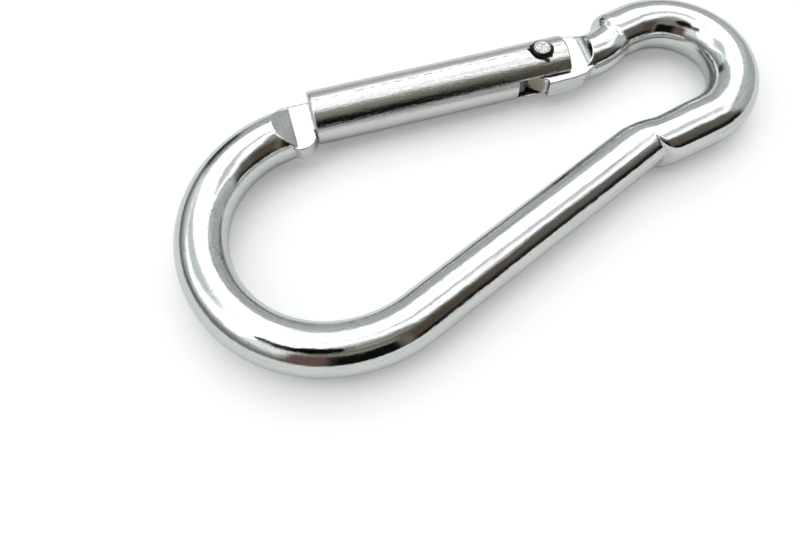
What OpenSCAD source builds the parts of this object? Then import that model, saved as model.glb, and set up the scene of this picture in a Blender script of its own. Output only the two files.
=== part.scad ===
// Spring snap hook: one bent round bar with a flattened nose and a flattened hinge tongue,
// a tubular gate on a rivet, and a spring-loaded plunger inside the gate that closes it.
// The hook lies flat. X runs from the big bend to the small eye, Y points to the gate side
// and Z is square to the plane of the hook. The origin is under the middle of the hook's box.

/* [Bar] */
// Diameter of the round bar
bar_d = 11.1; // [9:0.1:13.5]
// How much thicker the bar is round the eye, swollen by the forging
eye_swell = 0.3; // [0:0.05:0.8]
// How much thinner the bar is at the neck, drawn out by the forging
neck_slim = 1; // [0:0.1:2]
// Centreline radius of the big bend
big_r = 26.3; // [21:0.1:32]
// Centreline radius of the small eye
eye_r = 15.2; // [12.6:0.1:18.5]
// Distance between the centres of the big bend and the eye
eye_x = 87.4; // [72:0.1:106]

/* [Kink between spine and eye] */
// Straight length of the eye's lower leg
leg_straight = 9.4; // [6:0.1:12]
// Angle at which the spine dips into the lower leg
dip_angle = 13; // [8:0.5:18]
// Bend radius over the hump
hump_r = 14.4; // [12:0.1:20]
// Bend radius into the lower leg
dip_r = 24.4; // [18:0.1:30]
// Distance from the eye's centre to the step at the end of the lower leg
lip_back = 16.8; // [14:0.1:19]
// Radius of that step, which is round when seen square to the hook
lip_r = 6.6; // [5.8:0.1:9]

/* [Neck between eye and hinge] */
// Bend radius of the neck
neck_r = 14.4; // [12:0.1:20]
// Offset of the neck's centreline towards the inside of the hook
neck_drop = 0.45; // [0:0.05:1]
// Distance from the eye's centre to the end of the eye's shoulder
shoulder_back = 7.9; // [6.5:0.1:9.5]
// Edge rounding of the shoulder
shoulder_round = 3.9; // [2:0.1:4.7]

/* [Gate] */
// Outside diameter of the gate
gate_d = 12.1; // [10.5:0.1:14.5]
// Wall of the gate's tube
gate_wall = 1.05; // [0.8:0.05:1.6]
// Chamfer on the gate's ends
gate_chamfer = 0.35; // [0.1:0.05:0.8]
// Length of the gate beyond the rivet, at the hinge
gate_heel = 6.15; // [5:0.05:8]
// Distance from the rivet back to the square from the eye's centre
pin_back = 28.1; // [24:0.1:34]
// Width of the hinge slot
hinge_slot_w = 5.7; // [4.5:0.1:7.5]
// Length of the hinge slot beyond the rivet, towards the nose
hinge_slot_l = 6.7; // [5:0.1:9]
// Depth of the slot that takes the nose
nose_slot_l = 5.6; // [4:0.1:8]

/* [Nose] */
// Thickness of the flattened nose
blade_t = 3.5; // [2.5:0.1:4.5]
// Angle of the bevels that run down to the nose
blade_bevel = 41; // [30:1:60]
// How far the nose reaches outwards from the gate's axis
blade_out = 3.4; // [2:0.1:4]
// How far the nose reaches inwards from the gate's axis, inside the gate
blade_in = 4.5; // [3:0.1:5]
// How far the nose reaches inwards from the gate's axis, outside the gate
bulge_in = 8.9; // [7:0.1:10]
// Corner radius of the bulge
bulge_r = 3.5; // [2:0.1:4]
// Length of the nose inside the gate
blade_reach = 5; // [3:0.1:7]
// Gap beside the nose in its slot
blade_gap = 0.3; // [0.1:0.05:0.6]

/* [Hinge tongue] */
// Thickness of the flattened tongue
tongue_t = 4.9; // [4:0.1:6.5]
// How far the tongue stands out of the gate on the inside of the hook
tongue_in = 7.3; // [6:0.1:8.8]
// How far the tongue reaches outwards inside the gate
tongue_out = 3.9; // [3:0.1:4.3]
// Radius of the hollow that runs from the tongue up to the round bar
tongue_hollow = 3.1; // [2:0.1:5]
// Length of the flat tongue beyond the rivet
tongue_flat = 8.9; // [7.4:0.1:11]

/* [Rivet] */
// Diameter of the rivet's shank
rivet_d = 4; // [3:0.1:5]
// Running clearance of the rivet in the tongue, on the radius
rivet_clearance = 0.06; // [0.02:0.01:0.1]
// Diameter of the rivet's heads
head_d = 5.44; // [4.5:0.1:7]
// Diameter of the flat on top of each head
head_flat_d = 4.2; // [2:0.1:5]
// Height of each head above its seat
head_h = 1.06; // [0.6:0.02:1.6]
// Depth of the seat below the crest of the gate
seat_depth = 0.45; // [0.2:0.05:0.6]
// Diameter of the seat
seat_d = 6; // [5:0.1:7.5]

/* [Plunger and spring] */
// Clearance of the plunger in the bore, on the radius
plunger_clearance = 0.1; // [0.05:0.05:0.3]
// Length of the plunger's head
plunger_l = 9; // [6:0.5:14]
// Length of the plunger's spigot
spigot_l = 4; // [2:0.5:8]
// Wire diameter of the spring
wire_d = 1.1; // [0.8:0.1:1.4]
// Length of the fitted spring
spring_l = 20; // [14:0.5:28]
// Number of coils
coils = 8; // [5:1:12]

/* [Hidden] */
$fn = 96;

// A length beyond every edge of the hook
far = 200;
// Bar lengths stop short of their ends and balls a hair larger than the bar join them.
// The balls' poles are turned into the bar.
hair = 0.02;
short = 0.1;
pole_turn = 40;

bar_r = bar_d / 2;
eye_bar_r = (bar_d + eye_swell) / 2;
neck_bar_r = (bar_d - neck_slim) / 2;
gate_r = gate_d / 2;
bore_r = gate_r - gate_wall;

// The gate's axis, from how far it passes outside the big bend and inside the eye,
// in bar diameters
off_big = 0.2365;
off_eye = 0.477;
gate_off_big = big_r + off_big * bar_d;
gate_off_eye = eye_r - off_eye * bar_d;
gate_tilt = asin((gate_off_big - gate_off_eye) / eye_x);
// Feet of the squares from the two centres, along the gate's axis from the rivet
foot_eye = pin_back;
foot_big = pin_back - eye_x * cos(gate_tilt);
pin_x = gate_off_big * sin(gate_tilt) - foot_big * cos(gate_tilt);
pin_y = gate_off_big * cos(gate_tilt) + foot_big * sin(gate_tilt);

// The nose, along the gate's axis from the rivet: where its flat starts, its root and the
// gate's end lie at set numbers of bar diameters from the square through the big bend
flat_back = 0.136;
root_back = 0.396;
nose_on = 0.28;
flat_u = foot_big - flat_back * bar_d;
root_u = foot_big - root_back * bar_d;
gate_nose_u = foot_big + nose_on * bar_d;
blade_tip_u = gate_nose_u + blade_reach;
// Play between the bulge and the gate's end, the root's corners and the tip's corners
nose_play = 0.1;
root_corner = [2, 0.8];
tip_r = 1.2;
nose_slot_u = gate_nose_u + nose_slot_l;
gate_l = gate_heel - gate_nose_u;
// Height of the gate's crest beside the nose slot, outwards from its axis
crest_q = sqrt(pow(gate_r, 2) - pow(blade_t / 2 + blade_gap, 2));

// The spine: a line that passes the big bend's centre at spine_off and runs onto the hump.
// The bend opens a little over its last ease_angle degrees.
spine_out = 0.055;
ease_angle = 35;
spine_off = big_r + spine_out * bar_d;
ease_r = big_r + (spine_off - big_r) / (1 - cos(ease_angle));
hump_x = eye_x - leg_straight - (hump_r + dip_r) * sin(dip_angle);
hump_y = -eye_r + (hump_r + dip_r) * (1 - cos(dip_angle));
hump_c = [hump_x, hump_y - hump_r];
spine_angle = atan2(hump_c[1], hump_c[0]) + asin((spine_off + hump_r) / norm(hump_c));
ease_start = 270 + spine_angle - ease_angle;
ease_c = -(ease_r - big_r) * [cos(ease_start), sin(ease_start)];
spine_start = ease_c + ease_r * [sin(spine_angle), -cos(spine_angle)];
spine_l = norm(hump_c + hump_r * [-sin(spine_angle), cos(spine_angle)] - spine_start);
dip_c = [eye_x - leg_straight, -eye_r + dip_r];
// Centre of the round step at the end of the lower leg
lip_c = [eye_x - lip_back + lip_r, -eye_r - eye_bar_r + lip_r - short];

// The neck: from the gate's axis, round a bend and onto the eye's own circle
neck_rise = neck_r - neck_drop + gate_off_eye;
neck_run = sqrt(pow(neck_r + eye_r, 2) - pow(neck_rise, 2));
neck_angle = asin(neck_run / (neck_r + eye_r));
neck_u = foot_eye - neck_run;
// The neck starts inside the eye's bar and ends just outside the gate's heel
neck_from = 70;
neck_end = 1;

// The rivet's seat and heads, from the middle plane
seat_z = gate_r - seat_depth;
head_z = seat_z + head_h;
// Share of a head's height that is domed
dome_share = 0.16;

// The tongue's cam: a lobe below the gate's axis that the plunger presses on
lobe_r = 0.6;
lobe_u = -3.6;
lobe_q = -2.9;
lobe_back = [0.3, 0.52];
plunger_gap = 0.1;
// The tongue's outline: its shoulder in front of the lobe, its inner edge inside the gate,
// at the heel and at the end of the flat, its brow outside the gate's heel, and its root
cam_u = -2.8;
cam_q = 2.7;
heel_drop = 1.2;
edge_rise = [0.2, 0.6];
brow_gap = 0.5;
brow_q = 5.45;
root_run = 0.8;
root_in = 4.55;
root_out = 4.05;
plunger_u = lobe_u - lobe_r - plunger_gap;
plunger_r = bore_r - plunger_clearance;
// Lead-in on the plunger's head and spigot, and the chamfer on the head's back edge
lead = 0.6;
spigot_lead = 0.5;
back_edge = 0.3;
spigot_r = 2.6;
// The spring: mean radius, pitch of the touching end coils in wire diameters, gap at each
// end, steps in a coil and sides of the wire
spring_r = 3.55;
end_pitch = 1.04;
spring_gap = 0.05;
coil_steps = 30;
wire_sides = 10;
spring_u = plunger_u - plunger_l;
bore_u = spring_u - spring_l;

// Box of the hook in its own plane, and the shift that puts the origin under its middle
box_x = [-big_r - bar_r, eye_x + eye_r + eye_bar_r];
box_y = [ease_c[1] - ease_r - bar_r,
         pin_y - (gate_nose_u + gate_chamfer) * sin(gate_tilt) + crest_q * cos(gate_tilt)];
mid = [(box_x[0] + box_x[1]) / 2, (box_y[0] + box_y[1]) / 2];

// Moves its children from the big bend's centre to the part's own origin
module hook_frame() {
    translate([-mid[0], -mid[1], head_z]) children();
}

// Moves its children from the rivet's axis, with X along the gate, to the part's own origin
module gate_frame() {
    hook_frame() translate([pin_x, pin_y, 0]) rotate(-gate_tilt) children();
}

// A bent length of bar: centre, centreline radius, first angle, sweep and the bar's radius.
// It stops just short of both ends, where a joining ball takes over.
module bent_bar(centre, r, from, sweep, thick = bar_r) {
    less = short / r * 180 / PI;
    translate([centre[0], centre[1], 0]) rotate(from + less)
        rotate_extrude(angle = sweep - 2 * less) translate([r, 0]) circle(r = thick);
}

// A straight length of bar: start, direction, length, the bar's radius and where balls join it
module straight_bar(start, dir, l, thick = bar_r, balls = []) {
    translate([start[0], start[1], 0]) rotate(dir) rotate([0, 90, 0]) {
        translate([0, 0, short]) cylinder(r = thick, h = l - 2 * short);
        for (at = balls) translate([0, 0, at]) sphere(r = thick + hair);
    }
}

// A straight length of the eye's bar with a rounded far end and a joining ball at its start
module round_ended_bar(start, dir, l, round) {
    translate([start[0], start[1], 0]) rotate(dir) rotate([0, 90, 0]) {
        rotate_extrude() {
            translate([0, short]) square([eye_bar_r, l - round - short]);
            translate([0, short]) square([eye_bar_r - round, l - short]);
            intersection() {
                translate([eye_bar_r - round, l - round]) circle(r = round);
                translate([0, l - eye_bar_r]) square([eye_bar_r, eye_bar_r]);
            }
        }
        sphere(r = eye_bar_r + hair);
    }
}

// Joins two bent lengths with a ball a hair larger than the bar: centre, angle, distance
// and the bar's radius
module join(centre, at, r, thick = bar_r) {
    translate([centre[0], centre[1], 0]) rotate(at) translate([r, 0, 0])
        rotate([90, 0, 0]) rotate(pole_turn) sphere(r = thick + hair);
}

// The lower leg of the eye: straight, cut off by a round step
module leg() {
    intersection() {
        straight_bar([eye_x, -eye_r], 180, lip_back + bar_d, eye_bar_r, balls = [0]);
        translate([lip_c[0], lip_c[1], -bar_d]) linear_extrude(height = 2 * bar_d) {
            circle(r = lip_r);
            translate([0, -lip_r]) square([lip_back + bar_d, 2 * lip_r]);
        }
    }
}

// Cuts both faces of a flattened end; its child is the upper cutter's outline in X and Z
module both_faces() {
    wide = 2 * bar_d + 2;
    for (side = [0, 1]) mirror([0, 0, side])
        rotate([90, 0, 0]) linear_extrude(height = wide, center = true) children();
}

// Room above the nose: flat, then up the bevel to clear the bar
module nose_cut() {
    past_u = foot_big + 1;
    both_faces() polygon([
        [flat_u, blade_t / 2],
        [past_u, blade_t / 2],
        [past_u, blade_t / 2 + bar_r],
        [flat_u - bar_r / tan(blade_bevel), blade_t / 2 + bar_r]]);
}

// Room above the tongue: flat, then up a hollow to clear the bar
module tongue_cut() {
    both_faces() {
        translate([0, tongue_t / 2]) square([tongue_flat, bar_r]);
        translate([tongue_flat, tongue_t / 2]) difference() {
            square([tongue_hollow, bar_r]);
            translate([0, tongue_hollow]) difference() {
                translate([0, -tongue_hollow]) square([tongue_hollow, tongue_hollow]);
                circle(r = tongue_hollow);
            }
        }
    }
}

// The flattened nose: a bulge outside the gate and a tip inside its slot
module blade() {
    bulge_u = gate_nose_u - nose_play - bulge_r;
    translate([0, 0, -blade_t / 2]) linear_extrude(height = blade_t) {
        polygon([
            [root_u, -bulge_in + root_corner[1]],
            [root_u + root_corner[0], -bulge_in],
            [bulge_u, -bulge_in],
            [bulge_u, blade_out],
            [root_u + root_corner[0], blade_out],
            [root_u, blade_out - root_corner[1]]]);
        translate([bulge_u, -bulge_in + bulge_r]) circle(r = bulge_r);
        translate([bulge_u, -blade_in])
            square([blade_tip_u - bulge_u - tip_r, blade_in + blade_out]);
        translate([bulge_u, -blade_in + tip_r])
            square([blade_tip_u - bulge_u, blade_in + blade_out - 2 * tip_r]);
        for (q = [-blade_in + tip_r, blade_out - tip_r])
            translate([blade_tip_u - tip_r, q]) circle(r = tip_r);
    }
}

// The flattened tongue: round about the rivet, with a lobe for the plunger and a brow
module tongue() {
    reach_u = tongue_flat + tongue_hollow + root_run;
    translate([0, 0, -tongue_t / 2]) linear_extrude(height = tongue_t) {
        circle(r = tongue_out);
        translate([lobe_u, lobe_q]) circle(r = lobe_r);
        polygon([
            [0, tongue_out],
            [cam_u, cam_q],
            [lobe_u - lobe_r, lobe_q],
            [lobe_u - lobe_back[0], lobe_q - lobe_back[1]],
            [0, -tongue_in + heel_drop],
            [0, -tongue_in],
            [gate_heel, -tongue_in + edge_rise[0]],
            [tongue_flat, -tongue_in + edge_rise[1]],
            [reach_u, -root_in],
            [reach_u, root_out],
            [gate_heel + brow_gap, brow_q],
            [gate_heel + brow_gap, tongue_out]]);
    }
}

// The bar before its ends are flattened
module bar() {
    hook_frame() {
        bent_bar([0, 0], big_r, 90 - gate_tilt, ease_start - 90 + gate_tilt);
        join([0, 0], ease_start, big_r);
        bent_bar(ease_c, ease_r, ease_start, ease_angle);
        straight_bar(spine_start, spine_angle, spine_l, balls = [0, spine_l]);
        // Over the hump the bar's outer side keeps to the line of the spine, up to the step
        intersection() {
            union() {
                bent_bar(hump_c, hump_r, 90 - dip_angle, dip_angle + spine_angle);
                join(hump_c, 90 - dip_angle, hump_r);
                bent_bar(dip_c, dip_r, 270 - dip_angle, dip_angle);
            }
            straight_bar(spine_start, spine_angle, spine_l + 4 * bar_d, bar_r + short);
        }
        leg();
        bent_bar([eye_x, 0], eye_r, -90, 180, eye_bar_r);
        round_ended_bar([eye_x, eye_r], 180, shoulder_back, shoulder_round);
        bent_bar([eye_x, 0], eye_r, neck_from, 90 + neck_angle - gate_tilt - neck_from,
                 neck_bar_r);
        join([eye_x, 0], 90 + neck_angle - gate_tilt, eye_r, neck_bar_r);
    }
    gate_frame() {
        bent_bar([neck_u, neck_r - neck_drop], neck_r, 270, neck_angle, neck_bar_r);
        straight_bar([neck_u, -neck_drop], 180, neck_u - gate_heel - neck_end, neck_bar_r,
                     balls = [0]);
    }
}

// The one forged body of the hook
module body() {
    color("Silver") difference() {
        union() {
            difference() {
                bar();
                gate_frame() nose_cut();
                gate_frame() tongue_cut();
            }
            gate_frame() {
                blade();
                tongue();
            }
        }
        gate_frame()
            cylinder(r = rivet_d / 2 + rivet_clearance, h = 2 * tongue_t, center = true);
    }
}

// The tubular gate: blind bore, a slot for the tongue, a slot for the nose, rivet seats
module gate() {
    color("Gainsboro") gate_frame() difference() {
        translate([gate_nose_u, 0, 0]) rotate([0, 90, 0]) rotate_extrude() polygon([
            [0, 0],
            [gate_r - gate_chamfer, 0],
            [gate_r, gate_chamfer],
            [gate_r, gate_l - gate_chamfer],
            [gate_r - gate_chamfer, gate_l],
            [0, gate_l]]);
        translate([bore_u, 0, 0]) rotate([0, 90, 0]) cylinder(r = bore_r, h = far);
        translate([-hinge_slot_l, -gate_d, -hinge_slot_w / 2])
            cube([far, gate_d, hinge_slot_w]);
        translate([gate_nose_u - 1, -blade_in, -blade_t / 2 - blade_gap])
            cube([nose_slot_u - gate_nose_u + 1, gate_d, blade_t + 2 * blade_gap]);
        for (side = [0, 1]) mirror([0, 0, side])
            translate([0, 0, seat_z]) cylinder(r = seat_d / 2, h = gate_r);
        cylinder(r = rivet_d / 2, h = 2 * gate_d, center = true);
    }
}

// The rivet: a shank with a low domed head on each side
module rivet() {
    dome = head_z - dome_share * head_h;
    color("DimGray") gate_frame() rotate_extrude() polygon([
        [0, -head_z],
        [head_flat_d / 2, -head_z],
        [head_d / 2, -dome],
        [head_d / 2, -seat_z],
        [rivet_d / 2, -seat_z],
        [rivet_d / 2, seat_z],
        [head_d / 2, seat_z],
        [head_d / 2, dome],
        [head_flat_d / 2, head_z],
        [0, head_z]]);
}

// The plunger: a head that fills the bore and a spigot for the spring
module plunger() {
    color("DarkSlateGray") gate_frame() translate([plunger_u, 0, 0]) rotate([0, -90, 0])
        rotate_extrude() polygon([
            [0, 0],
            [plunger_r - lead, 0],
            [plunger_r, lead],
            [plunger_r, plunger_l - back_edge],
            [plunger_r - back_edge, plunger_l],
            [spigot_r, plunger_l],
            [spigot_r, plunger_l + spigot_l - spigot_lead],
            [spigot_r - spigot_lead, plunger_l + spigot_l],
            [0, plunger_l + spigot_l]]);
}

// A point on the spring's wire: t runs from 0 to 1 along the wire, a goes round the wire.
// The last coil at each end lies nearly flat against its neighbour.
function spring_lift(t) =
    let (n = t * (coils + 2), flat = wire_d * end_pitch,
         rest = spring_l - wire_d - 2 * flat - 2 * spring_gap)
    spring_gap + wire_d / 2 + (n < 1 ? n * flat
        : n > coils + 1 ? flat + rest + (n - coils - 1) * flat
        : flat + rest * (n - 1) / coils);
function spring_point(t, a) =
    let (turn = 360 * t * (coils + 2), r = spring_r + wire_d / 2 * cos(a))
    [r * cos(turn), r * sin(turn), spring_lift(t) + wire_d / 2 * sin(a)];

// The compression spring behind the plunger
module spring() {
    steps = (coils + 2) * coil_steps;
    points = [for (i = [0:steps], k = [0:wire_sides - 1])
        spring_point(i / steps, 360 * k / wire_sides)];
    sides = [for (i = [0:steps - 1], k = [0:wire_sides - 1])
        let (a = i * wire_sides + k, b = i * wire_sides + (k + 1) % wire_sides)
        [a, b, b + wire_sides, a + wire_sides]];
    ends = [[for (k = [wire_sides - 1:-1:0]) k],
            [for (k = [0:wire_sides - 1]) steps * wire_sides + k]];
    color("SlateGray") gate_frame() translate([spring_u, 0, 0]) rotate([0, -90, 0])
        polyhedron(points = points, faces = concat(sides, ends), convexity = 10);
}

body();
gate();
rivet();
plunger();
spring();
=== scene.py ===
import bpy
import numpy as np
from mathutils import Matrix


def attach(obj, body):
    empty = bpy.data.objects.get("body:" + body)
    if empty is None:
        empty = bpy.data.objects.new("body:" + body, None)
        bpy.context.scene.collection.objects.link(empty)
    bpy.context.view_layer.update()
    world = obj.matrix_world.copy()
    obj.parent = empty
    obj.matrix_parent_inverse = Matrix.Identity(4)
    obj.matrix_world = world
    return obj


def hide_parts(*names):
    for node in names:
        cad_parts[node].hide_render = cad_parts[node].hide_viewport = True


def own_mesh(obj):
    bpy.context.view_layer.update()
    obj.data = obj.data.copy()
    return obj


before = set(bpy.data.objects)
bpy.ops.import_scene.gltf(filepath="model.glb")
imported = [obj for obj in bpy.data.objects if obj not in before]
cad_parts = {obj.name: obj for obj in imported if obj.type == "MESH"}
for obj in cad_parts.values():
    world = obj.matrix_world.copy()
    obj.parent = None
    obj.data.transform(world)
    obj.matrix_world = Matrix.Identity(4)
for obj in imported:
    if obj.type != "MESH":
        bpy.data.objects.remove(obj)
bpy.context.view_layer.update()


# Sizes in millimetres, from the big bend's centre in the hook's middle plane. They follow the
# part's source, but these are set here to match the photograph: the eye's leg, which is slimmer
# towards its step, the step's taper, the shoulder, the fillets and rounded edges, and the
# rivet's heads and seats.

# Radii of the bar, of the small eye's bar and of the neck
BAR_R, EYE_BAR_R, NECK_BAR_R = 5.55, 5.7, 5.05
# Bend radii of the big bend and the small eye, and the distance between their centres
BIG_R, EYE_R, EYE_X = 26.3, 15.2, 87.4
# Last part of the big bend, over which it opens a little
EASE_ANGLE = np.radians(35)
# The kink: straight leg of the eye, angle of the dip, bend radii over the hump and into the leg
LEG_STRAIGHT, DIP_ANGLE, HUMP_R, DIP_R = 9.4, np.radians(13), 14.4, 24.4
# How far the leg's bar runs on past its step, and where it swells to the eye's radius
LEG_BEYOND, SWELL_FROM, SWELL_L = 9, 15, 12
# The step: back from the eye's centre, radius, how far it is set in, taper and rounding
LIP_BACK, LIP_R, LIP_IN, LIP_TAPER, LIP_ROUND = 16.8, 6.6, 0.1, 0.4, 1.0
# The neck: bend radius, offset inwards, where it starts in the eye and ends outside the gate
NECK_R, NECK_DROP, NECK_FROM, NECK_END = 14.4, 0.45, np.radians(70), 1
# The eye's shoulder: back from the eye's centre, and the rounding of its edge
SHOULDER_BACK, SHOULDER_ROUND = 8.3, 3.2
# Fillets between the spine's bar and the eye's, and at the neck
EYE_FILLET, NECK_FILLET = 0.15, 0.25
# In bar diameters: the gate's axis passes outside the big bend's centreline and inside the
# eye's, and the spine's line passes outside the big bend's
GATE_OUT_BIG, GATE_IN_EYE, SPINE_OUT = 0.2365, 0.477, 0.055

# The gate: rivet back from the eye's centre, radius, bore, length past the rivet, end of the bore
PIN_BACK, GATE_R, BORE_R, HEEL, BORE_END = 28.1, 6.05, 5.0, 6.15, -33.3
# Chamfer of the part's own gate, which sets the box
GATE_CHAMFER = 0.35
# Half width and length of the slots for the tongue and for the nose
HINGE_SLOT, HINGE_SLOT_L, NOSE_SLOT, NOSE_SLOT_L = 2.85, 6.7, 2.05, 5.6
# Rounded edges of the gate's ends, bore, slots and rivet seats
END_ROUND, BORE_ROUND, SLOT_ROUND, SEAT_ROUND = 0.7, 0.15, 0.2, 0.08

# The nose's flat, root and the gate's end, in bar diameters from the square through the big bend
FLAT_BACK, ROOT_BACK, NOSE_ON = 0.136, 0.396, 0.28
# The nose: half thickness, bevel, reach outwards and inwards, and length inside the gate
BLADE_HALF, BEVEL, BLADE_OUT, BLADE_IN, BLADE_REACH = 1.75, np.radians(41), 3.4, 4.5, 5.0
# The bulge's reach inwards and corner, and the tip's corner and how far back its block runs
BULGE_IN, BULGE_R, TIP_R, TIP_BACK = 8.9, 3.5, 1.2, 4
# The root's outer corner, the cut at its inner corner, and where its inner edge starts
ROOT_CORNER, ROOT_CUT, ROOT_EDGE = (2, 0.8), (1.6, 0.9), 3
# Play between the bulge and the gate's end, and how far the round bar runs under the nose
NOSE_PLAY, NOSE_BAR = 0.1, 0.5
# Rounded edges and fillets of the nose
BEVEL_ROUND, BAR_END_ROUND, BULGE_FILLET, BLADE_ROUND = 0.25, 0.1, 0.1, 0.35

# The tongue: half thickness, reach inwards and outwards, its hollows, and length of the flat
TONGUE_HALF, TONGUE_IN, TONGUE_OUT, HOLLOW, TONGUE_FLAT = 2.45, 7.3, 3.9, 3.1, 8.9
# Its cam towards the plunger: the shoulder, and the lobe's front and lower corners
CAM, LOBE_FRONT, LOBE_LOW = (-2.8, 2.7), (-4.2, -2.9), (-3.9, -3.42)
# Drop of the inner edge inside the gate, and its rise at the heel and at the flat's end
HEEL_DROP, HEEL_RISE, FLAT_RISE = 1.2, 0.2, 0.6
# The brow outside the gate's heel, and the root in the round bar
BROW_GAP, BROW_Q, ROOT_RUN, ROOT_IN, ROOT_OUT = 0.5, 5.45, 0.8, 4.55, 4.05
# How far past the hollow it still cuts, and the tongue's rounded edges
HOLLOW_END, HOLLOW_ROUND, TONGUE_ROUND = 0.3, 0.3, 0.4
# Cuts in the round bar stop this far inside a flat, which is joined on with this fillet
UNDER_FLAT, FLAT_FILLET = 0.5, 0.12

# The rivet: shank, its play in the tongue, height of seats and heads, radii of seat, head and flat
PIN_R, PIN_PLAY = 2, 0.06
SEAT_Z, HEAD_Z, SEAT_R, HEAD_R, HEAD_FLAT_R = 5.6, 6.66, 2.66, 2.42, 1.9
# The spring: wire, mean radius, coils, length, gap at each end, end coils' pitch in wire radii
WIRE_R, COIL_R, COILS, SPRING_L, SPRING_GAP, END_PITCH = 0.55, 3.55, 8, 20, 0.05, 2.04

# Derived places. G is the direction along the gate's axis towards the eye and Q the direction
# outwards from it. A place whose name ends in _U lies along that axis, measured from the rivet.
OFF_BIG = BIG_R + GATE_OUT_BIG * 2 * BAR_R
OFF_EYE = EYE_R - GATE_IN_EYE * 2 * BAR_R
TILT = np.arcsin((OFF_BIG - OFF_EYE) / EYE_X)
FOOT_BIG = PIN_BACK - EYE_X * np.cos(TILT)
G = np.array([np.cos(TILT), -np.sin(TILT)])
Q = np.array([np.sin(TILT), np.cos(TILT)])
PIN = OFF_BIG * Q - FOOT_BIG * G
FLAT_U = FOOT_BIG - FLAT_BACK * 2 * BAR_R
ROOT_U = FOOT_BIG - ROOT_BACK * 2 * BAR_R
NOSE_U = FOOT_BIG + NOSE_ON * 2 * BAR_R
TIP_U = NOSE_U + BLADE_REACH
SPINE_OFF = BIG_R + SPINE_OUT * 2 * BAR_R
EASE_R = BIG_R + (SPINE_OFF - BIG_R) / (1 - np.cos(EASE_ANGLE))
HUMP_C = np.array([EYE_X - LEG_STRAIGHT - (HUMP_R + DIP_R) * np.sin(DIP_ANGLE),
                   -EYE_R + (HUMP_R + DIP_R) * (1 - np.cos(DIP_ANGLE)) - HUMP_R])
SPINE_A = np.arctan2(HUMP_C[1], HUMP_C[0]) + np.arcsin((SPINE_OFF + HUMP_R) / np.hypot(*HUMP_C))
SPINE_N = np.array([-np.sin(SPINE_A), np.cos(SPINE_A)])
EASE_START = 1.5 * np.pi - EASE_ANGLE + SPINE_A
EASE_C = -(EASE_R - BIG_R) * np.array([np.cos(EASE_START), np.sin(EASE_START)])
SPINE_S = EASE_C - EASE_R * SPINE_N
SPINE_E = HUMP_C + HUMP_R * SPINE_N
DIP_C = np.array([EYE_X - LEG_STRAIGHT, -EYE_R + DIP_R])
LIP_C = np.array([EYE_X - LIP_BACK + LIP_R, -EYE_R - EYE_BAR_R + LIP_R - LIP_IN])
EYE_C = np.array([EYE_X, 0.0])
NECK_RUN = np.sqrt((NECK_R + EYE_R) ** 2 - (NECK_R - NECK_DROP + OFF_EYE) ** 2)
NECK_ANGLE = np.arcsin(NECK_RUN / (NECK_R + EYE_R))
NECK_U = PIN_BACK - NECK_RUN
NECK_C = PIN + NECK_U * G + (NECK_R - NECK_DROP) * Q
CREST_Q = np.sqrt(GATE_R ** 2 - NOSE_SLOT ** 2)
BOX_Y = PIN[1] - (NOSE_U + GATE_CHAMFER) * np.sin(TILT) + CREST_Q * np.cos(TILT)
MID = np.array([(EYE_X + EYE_R + EYE_BAR_R - BIG_R - BAR_R) / 2, (EASE_C[1] - EASE_R - BAR_R + BOX_Y) / 2])


# Shapes as signed distances: negative inside, zero on the surface

# A distance that counts as far away, and how much of the body each flattened end may change
FAR, END_REACH = 9.0, 20
# Heights of the waviness of the hook and of the gate
HOOK_WAVE, GATE_WAVE = 0.004, 0.003


def seg(p, a, b):
    "distance in the plane from points to a straight run"
    d = np.subtract(b, a)
    t = np.clip((p - a) @ d / (d @ d), 0, 1)
    w = p - a - t[:, None] * d
    return np.hypot(w[:, 0], w[:, 1])


def arc(p, c, r, start, end):
    "distance in the plane from points to an arc"
    q = p - c
    mid, half = (start + end) / 2, abs(end - start) / 2
    a = (np.arctan2(q[:, 1], q[:, 0]) - mid + np.pi) % (2 * np.pi) - np.pi
    a = np.clip(a, -half, half) + mid
    return np.hypot(q[:, 0] - r * np.cos(a), q[:, 1] - r * np.sin(a))


def smin(a, b, k):
    "union of two shapes with a fillet"
    h = np.maximum(k - np.abs(a - b), 0)
    return np.minimum(a, b) - h * h / (4 * k)


def smax(a, b, k):
    "common part of two shapes with a rounded edge"
    return -smin(-a, -b, k)


def outline(p, points):
    "signed distance in the plane to a closed outline"
    points = np.asarray(points, float)
    d = np.full(len(p), 1e9)
    inside = np.zeros(len(p), bool)
    for a, b in zip(points, np.roll(points, 1, 0)):
        e = b - a
        w = p - a
        t = np.clip(w @ e / (e @ e), 0, 1)
        d = np.minimum(d, np.hypot(w[:, 0] - t * e[0], w[:, 1] - t * e[1]))
        if a[1] != b[1]:
            between = (a[1] > p[:, 1]) != (b[1] > p[:, 1])
            inside ^= between & (p[:, 0] < e[0] * (p[:, 1] - a[1]) / e[1] + a[0])
    return np.where(inside, -d, d)


def gate_uv(p):
    "places along the gate's axis and outwards from it"
    w = p[:, :2] - PIN
    return w @ G, w @ Q


def spine_bar(xy, z):
    "the big bend and the spine, with the hump and dip where they lie within the spine's line of bar"
    run = np.minimum(arc(xy, (0, 0), BIG_R, np.pi / 2 - TILT, EASE_START),
                     arc(xy, EASE_C, EASE_R, EASE_START, EASE_START + EASE_ANGLE))
    straight = np.hypot(np.minimum(run, seg(xy, SPINE_S, SPINE_E)), z) - BAR_R
    hump = np.minimum(arc(xy, HUMP_C, HUMP_R, np.pi / 2 - DIP_ANGLE, np.pi / 2 + SPINE_A),
                      arc(xy, DIP_C, DIP_R, 1.5 * np.pi - DIP_ANGLE, 1.5 * np.pi))
    line = np.hypot((xy - SPINE_S) @ SPINE_N, z) - BAR_R
    return np.minimum(straight, np.maximum(np.hypot(hump, z) - BAR_R, line))


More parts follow.
